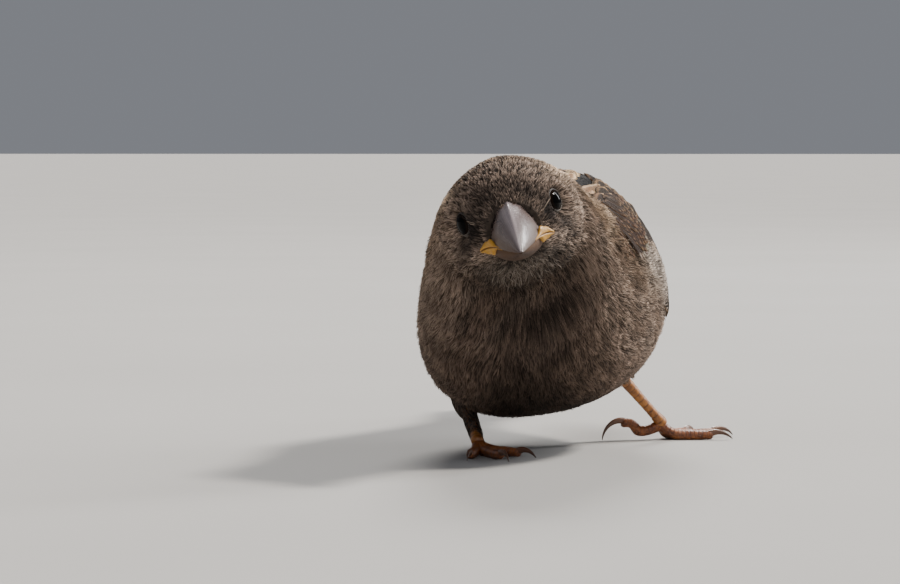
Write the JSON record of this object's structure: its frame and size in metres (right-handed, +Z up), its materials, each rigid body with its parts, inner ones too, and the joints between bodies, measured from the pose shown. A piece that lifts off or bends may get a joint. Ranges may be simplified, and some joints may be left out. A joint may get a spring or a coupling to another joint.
{
  "type": "house sparrow",
  "caption": "Life-size house sparrow, young or female, crouched on both feet with its head tilted and turned to its left, bill slightly open at the yellow gape.",
  "frame": {"origin": "on the floor, under the middle of the bird's bounding box", "axes": "+Z up, the bird faces -Y with its tail to +Y, its left side is +X"},
  "size_m": [0.0524, 0.1446, 0.0502],
  "materials": {
    "plumage": "soft grey-brown feathers",
    "wing": "brown flight feathers with buff edges",
    "bill": "smooth grey-pink horn",
    "gape": "soft yellow skin",
    "eye": "wet and nearly black",
    "leg": "scaled orange-brown skin",
    "claw": "dark horn"
  },
  "bodies": {
    "root": {"head": "plumage", "neck": "plumage", "trunk": "plumage", "tail": "wing", "wing_left": "wing", "wing_right": "wing", "primaries_left": "wing", "primaries_right": "wing", "thigh_left": "plumage", "thigh_right": "plumage", "upper_mandible": "bill", "lower_mandible": "bill", "gape_left": "gape", "gape_right": "gape", "eye_left": "eye", "eye_right": "eye", "tarsus_left": "leg", "tarsus_right": "leg", "toe_left_hind": "leg", "toe_left_inner": "leg", "toe_left_middle": "leg", "toe_left_outer": "leg", "toe_right_hind": "leg", "toe_right_inner": "leg", "toe_right_middle": "leg", "toe_right_outer": "leg", "claw_left_hind": "claw", "claw_left_inner": "claw", "claw_left_middle": "claw", "claw_left_outer": "claw", "claw_right_hind": "claw", "claw_right_inner": "claw", "claw_right_middle": "claw", "claw_right_outer": "claw"}
  },
  "joints": []
}
